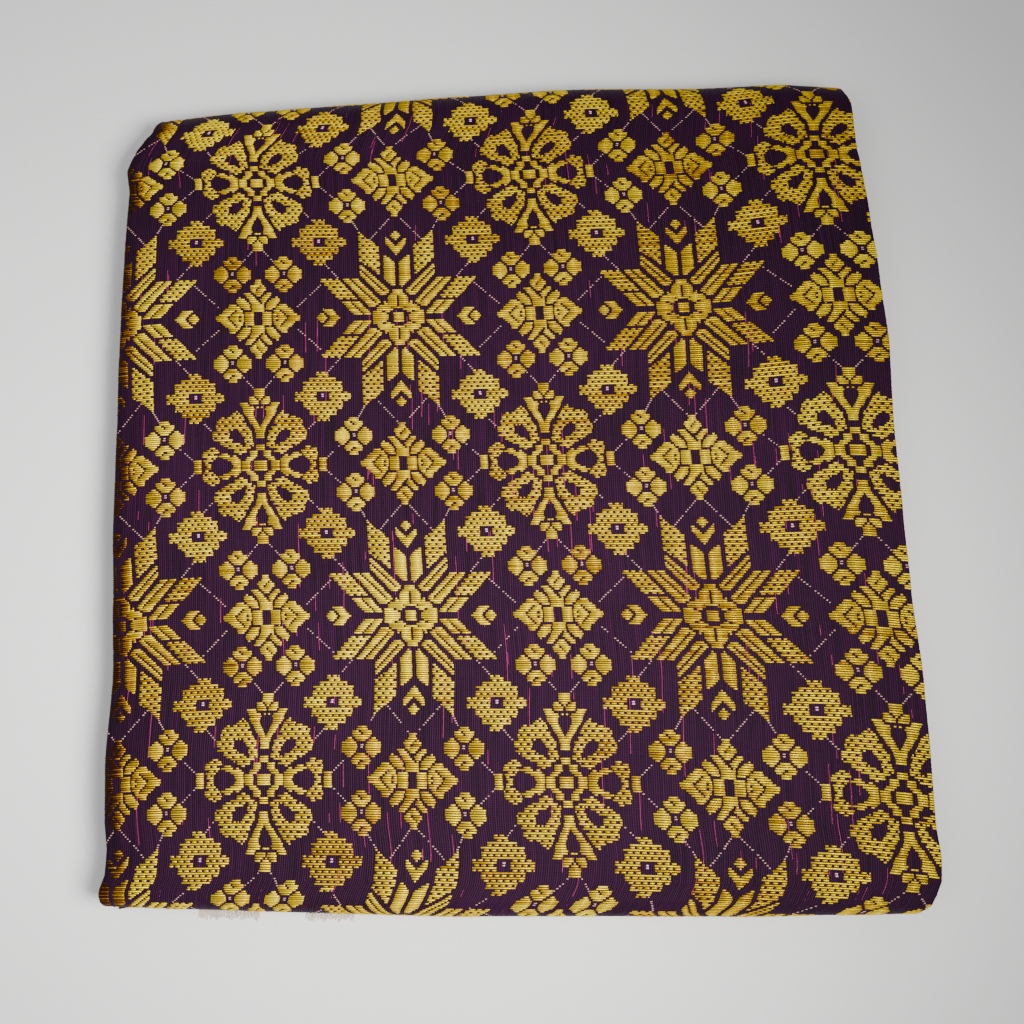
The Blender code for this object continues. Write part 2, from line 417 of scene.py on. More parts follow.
CREASES = (
    Crease(-150, -138, 120, -146, -0.30, 5.0, 2.0),
    Crease(-150, -120, -40, -128, 0.22, 9.0, -3.0),
    Crease(-120, 120, 90, 134, -0.25, 8.0, 3.0),
    Crease(60, -120, 118, 40, 0.20, 9.0, 4.0),
    Crease(-140, -60, -110, 90, -0.20, 9.0, 5.0),
    Crease(-60, 60, 60, 90, 0.15, 12.0, -4.0),
)


def unit(vectors: np.ndarray) -> np.ndarray:
    """Vectors scaled to length one."""
    return vectors / np.maximum(np.linalg.norm(vectors, axis=-1, keepdims=True), 1e-9)


@dataclass(frozen=True)
class Weave:
    """Where the pattern lies on the strip, with the bow and skew of a hand-held warp."""

    rows: int = 74
    step: float = 0.73
    degree: int = 5
    centre: tuple[float, float] = (3.0, 2.0)
    scale: float = 3.0
    limits: tuple[float, ...] = (-0.1, 5.4, -0.6, 4.6)
    across: tuple[float, ...] = (
        160.45, 156.35, 3.91, 4.02, 2.29, 0.97, 7.58, 9.09, 5.63, -7.39, 4.05, -1.86, -0.39, -3.07, -1.91,
        4.06, -3.61, -11.43, -8.89, 6.07, 10.36)
    along: tuple[float, ...] = (
        473.40, 0.37, 168.10, -5.36, 4.02, -1.88, -3.14, 18.03, 8.93, 6.08, 3.85, 4.45, 3.37, -1.64, 6.70,
        2.02, 2.48, 2.99, -15.14, -11.87, -3.80)

    def bowed(self, terms: tuple[float, ...], u: np.ndarray, v: np.ndarray) -> np.ndarray:
        """Value of the bowed placing within the measured part.

        Args:
            terms: Factors of the polynomial, by rising degree.
            u: Places across the pattern, in half repeats.
            v: Places along the pattern, in half repeats.

        Returns:
            The values, held beyond the limits.
        """
        x = (np.clip(u, *self.limits[:2]) - self.centre[0]) / self.scale
        y = (np.clip(v, *self.limits[2:]) - self.centre[1]) / self.scale
        powers = [(degree - k, k) for degree in range(self.degree + 1) for k in range(degree + 1)]
        return sum(term * x ** a * y ** b for term, (a, b) in zip(terms, powers))

    def weft(self, u: np.ndarray, v: np.ndarray) -> np.ndarray:
        """Place across the cloth, in mm, of a place in the pattern."""
        beyond = u - np.clip(u, *self.limits[:2])
        return self.bowed(self.across, u, v) + self.across[1] * beyond / self.scale

    def warp(self, u: np.ndarray, v: np.ndarray) -> np.ndarray:
        """Place along the strip, in mm, of a place in the pattern."""
        beyond = v - np.clip(v, *self.limits[2:])
        return self.bowed(self.along, u, v) + self.along[2] * beyond / self.scale


class Fill(Enum):
    """How an outline of a motif is woven."""

    SOLID = "solid"
    DOTTED = "dotted"
    BARE = "bare"


class Mirror(Enum):
    """Copies of an outline, as signs of its two axes."""

    ONE = ((1, 1),)
    SIDES = ((1, 1), (-1, 1))
    ENDS = ((1, 1), (1, -1))
    BOTH = ((1, 1), (-1, 1), (1, -1), (-1, -1))


@dataclass(frozen=True)
class Patch:
    """One outline of a motif, in hundredths of the half repeat."""

    fill: Fill
    mirror: Mirror
    points: Points
    spare: float = 0.2

    def spans(self, y: float) -> list[tuple[float, float]]:
        """Stretches of a row inside the outline and its mirrored copies, with a little spare.

        Args:
            y: Height of the row.

        Returns:
            Start and stop of each stretch.
        """
        found = []
        for side, end in self.mirror.value:
            cuts = []
            for (ax, ay), (bx, by) in zip(self.points, self.points[1:] + self.points[:1]):
                low, high = ay * end, by * end
                if (low > y) != (high > y):
                    cuts.append(side * (ax + (bx - ax) * (y - low) / (high - low)))
            cuts.sort()
            pairs = zip(cuts[::2], cuts[1::2])
            found.extend((start - self.spare, stop + self.spare) for start, stop in pairs)
        return found


def slit(mirror: Mirror, start: tuple[float, float], stop: tuple[float, float], width: float = 0.9) -> Patch:
    """Bare line of a motif.

    Args:
        mirror: Its mirrored copies.
        start: Place where it starts.
        stop: Place where it stops.
        width: Its width.

    Returns:
        The bare outline.
    """
    run = Vector(stop) - Vector(start)
    side = Vector((-run.y, run.x)).normalized() * width / 2
    corners = (Vector(start) + side, Vector(stop) + side, Vector(stop) - side, Vector(start) - side)
    return Patch(Fill.BARE, mirror, tuple((corner.x, corner.y) for corner in corners), 0.0)


def block(fill: Fill, x: float, y: float, left: float | None = None, top: float | None = None,
          mirror: Mirror = Mirror.ONE) -> Patch:
    """Rectangle of a motif.

    Args:
        fill: How it is woven.
        x: Its right side.
        y: Its lower side.
        left: Its left side, where it isn't centred.
        top: Its upper side, where it isn't centred.
        mirror: Its mirrored copies.

    Returns:
        The outline.
    """
    left = -x if left is None else left
    top = -y if top is None else top
    return Patch(fill, mirror, ((left, top), (x, top), (x, y), (left, y)))


def joined(spans: Iterable[tuple[float, float]]) -> list[tuple[float, float]]:
    """Join stretches that touch.

    Args:
        spans: Stretches in any order.

    Returns:
        Stretches in rising order.
    """
    out: list[tuple[float, float]] = []
    for start, stop in sorted(spans):
        if out and start <= out[-1][1] + 1e-6:
            out[-1] = (out[-1][0], max(stop, out[-1][1]))
        else:
            out.append((start, stop))
    return out


def cut(spans: list[tuple[float, float]], holes: Iterable[tuple[float, float]]) -> list[tuple[float, float]]:
    """Take holes out of stretches.

    Args:
        spans: The stretches.
        holes: The holes.

    Returns:
        What is left of the stretches.
    """
    for low, high in holes:
        kept = []
        for start, stop in spans:
            if high <= start or low >= stop:
                kept.append((start, stop))
                continue
            if low > start:
                kept.append((start, low))
            if high < stop:
                kept.append((high, stop))
        spans = kept
    return spans


DOT_ROWS = 4


@dataclass(frozen=True)
class Motif:
    """A woven motif: its name, half height and outlines."""

    name: str
    reach: float
    patches: tuple[Patch, ...]
    dot_pitch: float = 4.9
    dot_gap: float = 1.7

    def spans(self, y: float, row: int) -> list[tuple[float, float]]:
        """Floats of gold on one row.

        Args:
            y: Height of the row in the motif, in hundredths of the half repeat.
            row: Number of the row in the cloth.

        Returns:
            Stretches across, in hundredths of the half repeat.
        """
        found: dict[Fill, list[tuple[float, float]]] = {fill: [] for fill in Fill}
        for patch in self.patches:
            found[patch.fill].extend(patch.spans(y))
        solid = cut(joined(found[Fill.SOLID]), found[Fill.BARE])
        dotted = cut(cut(joined(found[Fill.DOTTED]), found[Fill.BARE]), solid)
        if row % 2 == 0 and dotted:
            shift = self.dot_pitch * (0.5 if row % DOT_ROWS else 0.0)
            low, high = (int((place - shift) / self.dot_pitch) for place in (dotted[0][0], dotted[-1][1]))
            starts = [shift + k * self.dot_pitch for k in range(low - 1, high + 2)]
            dotted = cut(dotted, [(start, start + self.dot_gap) for start in starts])
        return solid + dotted


S, D, B = Fill.SOLID, Fill.DOTTED, Fill.BARE
STAR = Motif("star", 62.0, (
    block(S, 3.7, 3.0),
    Patch(S, Mirror.ENDS, ((-3.5, -6), (-7, -9), (-7, -14.5), (-3.4, -17.5), (-3.4, -20), (3.4, -20),
                           (3.4, -17.5), (7, -14.5), (7, -9), (3.5, -6))),
    slit(Mirror.ENDS, (0, -16), (0, -7), 1.2),
    Patch(S, Mirror.SIDES, ((7.5, -2.2), (13, -4.5), (18, -4.2), (18, 4.2), (13, 4.5), (7.5, 2.2))),
    Patch(S, Mirror.BOTH, ((4, -5.5), (8, -10), (9.5, -11.5), (10.5, -8.5), (14.5, -8), (15.5, -5.2),
                           (12, -5), (7, -3.2))),
    Patch(S, Mirror.BOTH, ((-9.3, -44.5), (-2, -39), (-2, -22), (-3.5, -21.5), (-9.3, -27.5)), 0.4),
    Patch(D, Mirror.BOTH, ((-26.3, -61.5), (-24, -58.5), (-13, -51), (-13, -30.5), (-26.3, -40.5)), 0.5),
    Patch(S, Mirror.BOTH, ((6, -18.5), (8.5, -21), (26.5, -37.5), (26.5, -30.5), (12.5, -16),
                           (9, -15.5)), 0.5),
    slit(Mirror.BOTH, (9.5, -18), (26.5, -34)),
    Patch(S, Mirror.BOTH, ((13, -11.5), (29, -27.5), (39, -27.5), (20, -7.5), (17, -8), (13.5, -10)), 0.5),
    slit(Mirror.BOTH, (16, -10.5), (34, -27.5)),
    Patch(D, Mirror.BOTH, ((43, -27.5), (56.5, -27.5), (42.5, -13.2), (29.5, -13.2)), 0.5),
    Patch(S, Mirror.BOTH, ((20, -1.6), (20, -3.2), (29, -12), (41, -12), (30.5, -1.6)), 0.5),
    slit(Mirror.BOTH, (24.5, -2), (34.5, -12)),
    Patch(S, Mirror.ENDS, ((-7.2, -57.5), (-7.2, -52.5), (0, -44), (7.2, -52.5), (7.2, -57.5), (0, -50.5))),
    Patch(S, Mirror.ENDS, ((0, -62), (3.8, -58.8), (0, -55), (-3.8, -58.8))),
    Patch(S, Mirror.SIDES, ((42, 0), (48, -6.5), (54.5, -6.5), (48.5, 0), (54.5, 6.5), (48, 6.5))),
    Patch(S, Mirror.SIDES, ((51, 0), (54.5, -4), (58.5, 0), (54.5, 4))),
))
FLOWER = Motif("flower", 52.0, (
    block(S, 4.0, 3.5),
    block(S, 13, 3, left=7.5, mirror=Mirror.SIDES),
    block(S, 2.8, -10.2, top=-14.5, mirror=Mirror.ENDS),
    Patch(S, Mirror.BOTH, ((2.2, -10.5), (6.8, -10.5), (6.8, -6.8), (9.8, -5.2), (9.8, -3.4), (6, -3.8),
                           (2.2, -6.6))),
    Patch(S, Mirror.ENDS, ((-3.3, -24.5), (3.5, -24.5), (2.5, -18), (-2.5, -18))),
    Patch(S, Mirror.BOTH, ((0, -24), (-3, -24), (-5.5, -27.5), (-10, -34), (-14.2, -42.8), (-9, -43),
                           (-7.5, -40.5), (-3.5, -38.8), (0, -39.8))),
    Patch(B, Mirror.BOTH, ((0, -25.5), (-2.5, -30), (-4.4, -34), (-4, -37.5), (-2, -39), (0, -39.2))),
    Patch(S, Mirror.ENDS, ((-3.6, -51.8), (3.2, -51.8), (3.6, -47.5), (0, -44.2), (-3.6, -47.5))),
    Patch(S, Mirror.BOTH, ((-7, -46.5), (-4.4, -46.8), (-0.6, -43), (-0.6, -41), (-5.5, -40.6), (-7, -43))),
    Patch(D, Mirror.BOTH, ((4.5, -15), (6.5, -23.5), (10, -29), (12, -33.5), (16, -37), (20, -34.5),
                           (21, -32.5), (26.5, -32.5), (29.5, -30), (30.5, -25), (33, -22.5), (33, -18.5),
                           (28, -15), (25, -13.5), (20, -10.5), (15, -7.8), (10.5, -8.5), (9, -11),
                           (5, -13))),
    Patch(B, Mirror.BOTH, ((10.5, -13.5), (11.5, -19), (14.5, -23), (18.5, -24.8), (21.5, -22.5),
                           (20.5, -18.5), (17, -16.2))),
    Patch(S, Mirror.BOTH, ((14, 0), (14, -4), (17, -7), (21, -6.5), (24, -8.8), (28, -7.8), (29.5, -5.8),
                           (24, -5.2), (20.5, -3), (19, 0))),
    Patch(D, Mirror.BOTH, ((28, -10), (33.5, -13), (36, -11), (39, -11.5), (40, -6), (38.5, -2.5), (38.5, 0),
                           (34.8, 0), (34, -3.5), (31, -6))),
    block(S, 45.8, 4.8, left=41, mirror=Mirror.SIDES),
))
MEDALLION = Motif("medallion", 29.0, (
    block(S, 4.3, -4.4, top=-9.5, mirror=Mirror.ENDS),
    block(S, 9.3, 4.3, left=3.0, mirror=Mirror.SIDES),
    Patch(S, Mirror.BOTH, ((5.5, -5.6), (6, -9.6), (10, -14.2), (13.5, -15.2), (15, -13.2), (14.5, -10.7),
                           (11, -7.2), (8.5, -5.4))),
    Patch(S, Mirror.ENDS, ((-9.8, -17.5), (-6.8, -18.8), (1.5, -10.8), (-4.6, -10.8))),
    Patch(S, Mirror.ENDS, ((-5.5, -20.5), (-5.5, -22.5), (-2.6, -24), (-1.8, -27.5), (2, -27.5), (2.6, -24),
                           (5.4, -22), (5.4, -20), (0.6, -14.6), (-0.8, -15.8))),
    slit(Mirror.ENDS, (2.2, -23.5), (-1.8, -19), 0.8),
    Patch(S, Mirror.ENDS, ((1.8, -13.8), (5.2, -17), (8.9, -18.8), (9, -16), (4.2, -10.8), (3, -10.8))),
    Patch(S, Mirror.SIDES, ((10.5, -0.7), (11, -4.7), (13.5, -8.7), (19.5, -10.7), (20.5, -8.2), (24.5, -5.7),
                            (26, -3.2), (29.5, -2.2), (29.5, 1.3), (26, 2.8), (22.5, 6.3), (20, 7.3),
                            (20, 10.3), (17.5, 10.3), (14, 7.3), (11, 3.8))),
    slit(Mirror.SIDES, (15.5, -6.2), (21.5, -0.7), 1.0),
    slit(Mirror.SIDES, (21.5, -0.7), (15.5, 5.3), 1.0),
    slit(Mirror.SIDES, (12.5, -2.5), (14, 0), 0.8),
    slit(Mirror.SIDES, (14, 0), (12.5, 2.5), 0.8),
))
ROSETTE = Motif("rosette", 13.2, (
    Patch(S, Mirror.BOTH, ((2.9, 0), (2.9, -2.2), (5.0, -4.6), (7.2, -7.2), (8.8, -6.4), (10.2, -4.6),
                           (12.2, -3.2), (13.2, -2), (13.2, 0))),
    Patch(S, Mirror.BOTH, ((0, -2.9), (2.0, -2.9), (6.9, -7.2), (6.2, -9.4), (3.2, -10.4), (2.4, -13.2),
                           (0, -13.2))),
    slit(Mirror.BOTH, (2.2, -2.2), (8.4, -8.4), 1.3),
    slit(Mirror.ENDS, (-2.5, -10.0), (0.9, -7.8), 0.9),
))
DIAMOND = Motif("diamond", 17.0, (
    Patch(D, Mirror.SIDES, ((0, -17), (4, -17), (4, -12.5), (9, -12.5), (9, -9.5), (13.5, -9.5),
                            (13.5, -4), (19.5, -4), (19.5, 4), (13.5, 4), (13.5, 9), (9, 9), (9, 12.5),
                            (4, 12.5), (4, 17), (0, 17))),
    block(B, 4.0, 3.8),
), dot_pitch=4.4, dot_gap=1.6)


class Dash(NamedTuple):
    """A dashed line from one place of a motif to another, mirrored both ways."""

    from_x: float
    from_y: float
    to_x: float
    to_y: float


A_DASHES = (Dash(2, 27, 19, 45), Dash(32, 29, 26, 39))
B_DASHES = (Dash(27, 7, 46, 24),)
FLOWER_DASHES = (Dash(3, 51, 13, 62), Dash(46, 4, 56, 13), Dash(33, 23, 41, 31))
STAR_DASHES = (Dash(42.5, 28, 52, 38),)


class Thread(NamedTuple):
    """A raised thread on the showing ply: its path in mm of cloth, and its tone from 0 to 1."""

    weft: np.ndarray
    along: np.ndarray
    tone: float


@dataclass
class ThreadPiece:
    """Raised threads joined in one mesh, each a low ridge closed beneath."""

    name: str
    strip: Strip
    width: float
    crest: float
    taper: float = 0.07
    most_taper: float = 0.35
    sunk: float = 0.03
    floor_gap: float = 0.02
    # Tone added at each ridge's near edge, crest and far edge: painted shade in the grooves between rows, a
    # painted highlight on the crest.
    ridge_shade_tone: tuple[float, float, float] = (-0.28, 0.07, -0.28)
    # Painted shade of the left rolled edge: how far the tone drops at the edge, its reach in mm, its falloff,
    # and over what length and how much it widens towards the front corner.
    rolled_edge_shade: float = 0.92
    rolled_shade_reach: float = 7.0
    rolled_shade_power: float = 0.5
    corner_shade_reach: float = 30.0
    corner_shade_gain: float = 1.2
    threads: list[Thread] = field(default_factory=list)

    def build(self) -> bpy.types.Object:
        """Make the mesh.

        Returns:
            The object, with a tone at each point of a thread.
        """
        points, faces, tones, first = [], [], [], 0
        front = self.strip.open_spans()[0][1]
        by_length: dict[int, list[Thread]] = {}
        for thread in self.threads:
            by_length.setdefault(len(thread.weft), []).append(thread)
        for count, group in sorted(by_length.items()):
            weft = np.array([thread.weft for thread in group])
            along = np.array([thread.along for thread in group])
            tone = np.array([thread.tone for thread in group])
            points.append(self.ridge(weft, along).reshape(-1, 3))
            starts = first + np.arange(len(group))[:, None, None] * 3 * count
            faces.append((starts + self.ridge_faces(count)[None]).reshape(-1, 4))
            # Painted shade: the tone drops towards the cloth's left edge, where it rolls under, over a band
            # that widens towards the front corner.
            corner = np.clip((along - front) / self.corner_shade_reach + self.corner_shade_gain, 0, 1)
            reach = self.rolled_shade_reach * (1 + self.corner_shade_gain * corner)
            rolled_edge_shade = self.rolled_edge_shade * (1 - np.clip(weft / reach, 0, 1)) ** self.rolled_shade_power
            # Each ridge also gets painted shade on its sunk edges and a painted highlight on its crest.
            tones.append(((tone[:, None] - rolled_edge_shade)[..., None] + np.array(self.ridge_shade_tone)).ravel())
            first += len(group) * 3 * count
        item = mesh_object(self.name, np.concatenate(points) * MM, np.concatenate(faces))
        tone = item.data.attributes.new("tone", "FLOAT", "POINT")
        tone.data.foreach_set("value", np.concatenate(tones).astype(np.float32))
        LOG.info("%s: %d threads", self.name, len(self.threads))
        return item

    def ridge(self, weft: np.ndarray, along: np.ndarray) -> np.ndarray:
        """Points of the ridges.

        Args:
            weft: Places across, a row for each thread.
            along: Places along the strip, a row for each thread.

        Returns:
            Near edge, crest and far edge at each step.
        """
        run = unit(np.stack([np.gradient(weft, axis=1), np.gradient(along, axis=1)], -1))
        side = np.stack([-run[..., 1], run[..., 0]], -1) * self.width / 2
        length = np.hypot(weft[:, -1] - weft[:, 0], along[:, -1] - along[:, 0])
        inset = np.minimum(self.taper, length * self.most_taper)
        top_weft, top_along = weft.copy(), along.copy()
        for place, sign in ((0, 1), (-1, -1)):
            top_weft[:, place] += run[:, place, 0] * inset * sign
            top_along[:, place] += run[:, place, 1] * inset * sign
        sunk = np.full(weft.shape, -self.sunk)
        near = self.strip.on_face(weft - side[..., 0], along - side[..., 1], sunk)
        crest = self.strip.on_face(top_weft, top_along, np.full(weft.shape, self.crest))
        far = self.strip.on_face(weft + side[..., 0], along + side[..., 1], sunk)
        points = np.stack([near, crest, far], 2)
        points[..., 2] = np.maximum(points[..., 2], self.floor_gap)
        return points

    @staticmethod
    def ridge_faces(count: int) -> np.ndarray:
        """Faces of one ridge.

        Args:
            count: Number of its stations.

        Returns:
            Rows of four corners; a triangle repeats its last one.
        """
        faces = [(0, 2, 1, 1)]
        for step in range(count - 1):
            a, b = 3 * step, 3 * step + 3
            faces += [(a, a + 1, b + 1, b), (a + 1, a + 2, b + 2, b + 1), (a + 2, a, b, b + 2)]
        last = 3 * count - 3
        faces.append((last, last + 1, last + 2, last + 2))
        return np.array(faces)


def mesh_object(name: str, points: np.ndarray, faces: np.ndarray) -> bpy.types.Object:
    """Make a smooth mesh object and put it in the scene.

    Args:
        name: Name of the piece.
        points: Points in metres.
        faces: Rows of four corners; a triangle repeats its last one.

    Returns:
        The object.
    """
    mesh = bpy.data.meshes.new(name)
    sizes = np.where(faces[:, 2] == faces[:, 3], 3, 4)
    corners = faces[np.arange(4)[None, :] < sizes[:, None]]
    mesh.vertices.add(len(points))
    mesh.vertices.foreach_set("co", points.astype(np.float32).ravel())
    mesh.loops.add(len(corners))
    mesh.loops.foreach_set("vertex_index", corners.astype(np.int32))
    mesh.polygons.add(len(faces))
    mesh.polygons.foreach_set("loop_start", np.r_[0, np.cumsum(sizes)[:-1]].astype(np.int32))
    mesh.update(calc_edges=True)
    mesh.validate()
    mesh.polygons.foreach_set("use_smooth", np.ones(len(mesh.polygons), dtype=bool))
    item = bpy.data.objects.new(name, mesh)
    bpy.context.scene.collection.objects.link(item)
    return item


@dataclass(frozen=True)
class Value:
    """A socket with the arithmetic of Math nodes."""

    tree: bpy.types.NodeTree
    socket: bpy.types.NodeSocket

    def math(self, operation: str, *others: "Value | float", swapped: bool = False) -> "Value":
        """Join this value and others by a Math node.

        Args:
            operation: The node's operation.
            others: The other values, in order.
            swapped: Whether this value comes last.

        Returns:
            The node's value.
        """
        node = self.tree.nodes.new("ShaderNodeMath")
        node.operation = operation
        parts = [*others, self] if swapped else [self, *others]
        for slot, part in zip(node.inputs, parts):
            if isinstance(part, Value):
                self.tree.links.new(part.socket, slot)
            else:
                slot.default_value = part
        return Value(self.tree, node.outputs[0])

    def __add__(self, other: "Value | float") -> "Value":
        """Sum."""
        return self.math("ADD", other)

    __radd__ = __add__

    def __mul__(self, other: "Value | float") -> "Value":
        """Product."""
        return self.math("MULTIPLY", other)

    __rmul__ = __mul__

    def __sub__(self, other: "Value | float") -> "Value":
        """Difference."""
        return self.math("SUBTRACT", other)

    def __rsub__(self, other: float) -> "Value":
        """Difference from a number."""
        return self.math("SUBTRACT", other, swapped=True)

    def __pow__(self, other: "Value | float") -> "Value":
        """Power."""
        return self.math("POWER", other)

    def __rpow__(self, other: float) -> "Value":
        """Power of a number."""
        return self.math("POWER", other, swapped=True)

    def wave(self) -> "Value":
        """Smooth wave from 0 to 1."""
        return self.math("SINE") * 0.5 + 0.5

    def clamped(self) -> "Value":
        """The value kept between 0 and 1."""
        return self.math("MINIMUM", 1.0).math("MAXIMUM", 0.0)


@dataclass(frozen=True)
class Finish:
    """A material being made: its tree and its one way to add nodes."""

    material: bpy.types.Material

    @classmethod
    def named(cls, name: str) -> "Finish":
        """Start an empty material.

        Args:
            name: Its name.

        Returns:
            The material, ready for its nodes.
        """
        material = bpy.data.materials.new(name)
        material.use_nodes = True
        material.node_tree.nodes.clear()
        return cls(material)

    def node(self, kind: str, settings: dict[str, object] | None = None,
             sockets: dict[str | int, object] | None = None) -> bpy.types.Node:
        """Add any node.

        Args:
            kind: The node's type.
            settings: Its settings, set first; stops are those of a ramp.
            sockets: Values or links of its inputs, by name or number.

        Returns:
            The node.
        """
        tree = self.material.node_tree
        node = tree.nodes.new(kind)
        for name, value in (settings or {}).items():
            if name == "stops":
                ramp = node.color_ramp
                while len(ramp.elements) < len(value):
                    ramp.elements.new(0.5)
                for element, (place, colour) in zip(ramp.elements, value):
                    element.position, element.color = place, (*colour, 1.0)
            else:
                setattr(node, name, value)
        for name, value in (sockets or {}).items():
            if isinstance(value, Value):
                tree.links.new(value.socket, node.inputs[name])
            elif isinstance(value, bpy.types.NodeSocket):
                tree.links.new(value, node.inputs[name])
            else:
                node.inputs[name].default_value = value
        return node

    def value(self, socket: bpy.types.NodeSocket) -> Value:
        """A socket as a value."""
        return Value(self.material.node_tree, socket)

    def attribute(self, name: str) -> Value:
        """A number kept on the mesh."""
        return self.value(self.node("ShaderNodeAttribute", {"attribute_name": name}).outputs["Fac"])

    def noise(self, scale: float, detail: float = 2.0, vector: object = None) -> Value:
        """Soft noise from 0 to 1."""
        place = vector or self.node("ShaderNodeTexCoord").outputs["Object"]
        node = self.node("ShaderNodeTexNoise", {}, {"Scale": scale, "Detail": detail, "Vector": place})
        return self.value(node.outputs["Fac"])

    def mix(self, factor: object, first: object, second: object) -> bpy.types.NodeSocket:
        """Mix of two colours.

        Args:
            factor: Share of the second one.
            first: A colour or a link.
            second: A colour or a link.

        Returns:
            The mixed colour.
        """
        first = (*first, 1.0) if isinstance(first, tuple) else first
        second = (*second, 1.0) if isinstance(second, tuple) else second
        node = self.node("ShaderNodeMix", {"data_type": "RGBA"}, {0: factor, 6: first, 7: second})
        return node.outputs[2]

    def bump(self, height: Value, strength: float, distance: float) -> bpy.types.NodeSocket:
        """Normal of a small relief."""
        return self.node("ShaderNodeBump", {}, {"Height": height, "Strength": strength,
                                                "Distance": distance}).outputs["Normal"]

    def close(self, **sockets: object) -> bpy.types.Material:
        """Join the surface shader.

        Args:
            **sockets: Values or links of its inputs, by name in small letters.

        Returns:
            The material.
        """
        named = {name.replace("_", " ").title().replace("Ior", "IOR"): part for name, part in sockets.items()}
        shader = self.node("ShaderNodeBsdfPrincipled", {}, named)
        self.node("ShaderNodeOutputMaterial", {}, {"Surface": shader.outputs["BSDF"]})
        return self.material


def srgb(*screen: float) -> Colour:
    """Make a linear colour.

    Args:
        *screen: Red, green and blue as screen values of 0 to 255.

    Returns:
        The three channels, from 0 to 1.
    """
    shares = [value / 255 for value in screen]
    red, green, blue = (s / 12.92 if s <= 0.04045 else ((s + 0.055) / 1.055) ** 2.4 for s in shares)
    return red, green, blue


@dataclass(frozen=True)
class GroundFinish:
    """Dark purple ground of fine warp and weft."""

    pitch: float = 0.76
    dark: Colour = srgb(5, 1, 5)
    ground: Colour = srgb(31, 4, 29)
    line: Colour = srgb(88, 20, 80)
    streak_scale: tuple[float, float] = (1600.0, 40.0)
    patch_scale: float = 22.0
    # Painted shade: how fast the ground darkens away from the left edge, and how dark it gets there.
    edge_fade: float = 190.0
    edge_shade: float = 0.7

    def make(self) -> bpy.types.Material:
        """Make the material: ribs along the warp, knots on them, streaks, soft patches and painted shade at
        the left edge.

        Returns:
            The material.
        """
        finish = Finish.named("purple_ground_weave")
        weave = finish.node("ShaderNodeUVMap", {"uv_map": "weave"}).outputs["UV"]
        parts = finish.node("ShaderNodeSeparateXYZ", {}, {"Vector": weave})
        weft, warp = finish.value(parts.outputs["X"]), finish.value(parts.outputs["Y"])
        turn = 2 * math.pi / (self.pitch * MM)
        ribs = (weft * turn).wave()
        rows = (warp * turn * 2).wave()
        column = finish.node("ShaderNodeCombineXYZ", {}, {"X": weft * self.streak_scale[0],
                                                          "Y": warp * self.streak_scale[1]})
        streak = finish.noise(1.0, 1.0, column.outputs["Vector"])
        patch = finish.noise(self.patch_scale, 3.0)
        body = finish.mix((streak * 0.9 + patch * 0.9 - 0.4).clamped(), self.dark, self.ground)
        knots = (warp * turn).wave() * 0.7 + 0.3
        threads = (ribs ** 3.0 * knots * (streak * 1.4 - 0.25)).clamped() * 0.75
        colour = finish.mix(threads, body, self.line)
        # Painted shade: the ground turns darker within about 5 mm of the cloth's left edge, where it rolls
        # under.
        edge = (1.0 - weft * self.edge_fade).clamped()
        colour = finish.mix(edge * self.edge_shade, colour, self.dark)
        relief = ribs * 0.7 + rows * 0.3
        return finish.close(base_color=colour, roughness=(0.72 - ribs * 0.16).clamped(), sheen_weight=0.03,
                            sheen_roughness=0.5, sheen_tint=(*srgb(150, 100, 170), 1.0),
                            specular_ior_level=0.1, normal=finish.bump(relief, 0.55, 0.0003))


@dataclass(frozen=True)
class GoldFinish:
    """Gold wrapped weft, from brown to bright yellow; the brown in the hollows and at the left rolled edge is
    painted shade.
    """

    name: str = "gold_weft"
    metallic: float = 0.45
    stops: tuple[tuple[float, Colour], ...] = (
        (0.0, srgb(52, 26, 2)), (0.3, srgb(148, 99, 0)), (0.6, srgb(203, 168, 0)), (1.0, srgb(236, 214, 0)))

    def make(self) -> bpy.types.Material:
        """Make the material.

        Returns:
            The material.
        """
        finish = Finish.named(self.name)
        tone = finish.attribute("tone")
        cloudy = finish.noise(30.0, 3.0)
        grain = finish.noise(1400.0, 2.0)
        shade = (tone + (cloudy - 0.5) * 0.5 + (grain - 0.5) * 0.5).clamped()
        ramp = finish.node("ShaderNodeValToRGB", {"stops": self.stops}, {"Fac": shade})
        return finish.close(base_color=ramp.outputs["Color"], metallic=self.metallic,
                            roughness=(0.52 - grain * 0.2).clamped(), specular_ior_level=0.06,
                            normal=finish.bump(grain, 0.5, 0.0001))


@dataclass(frozen=True)
class YarnFinish:
    """Plain dyed yarn."""

    name: str
    dark: Colour
    light: Colour
    roughness: float = 0.6

    def make(self) -> bpy.types.Material:
        """Make the material.

        Returns:
            The material.
        """
        finish = Finish.named(self.name)
        grain = finish.noise(900.0, 2.0)
        return finish.close(base_color=finish.mix(grain.clamped(), self.dark, self.light), sheen_weight=0.2,
                            roughness=(self.roughness + grain * 0.2).clamped(),
                            normal=finish.bump(grain, 0.4, 0.0001))


@dataclass(frozen=True)
class FloorFinish:
    """Pale plain floor."""

    colour: Colour = (0.78, 0.78, 0.78)
    shade: float = 0.985

    def make(self) -> bpy.types.Material:
        """Make the material.

        Returns:
            The material.
        """
        finish = Finish.named("pale_floor")
        cloudy = finish.noise(3.0, 2.0)
        darker = tuple(part * self.shade for part in self.colour)
        return finish.close(base_color=finish.mix(cloudy, darker, self.colour), roughness=0.8)


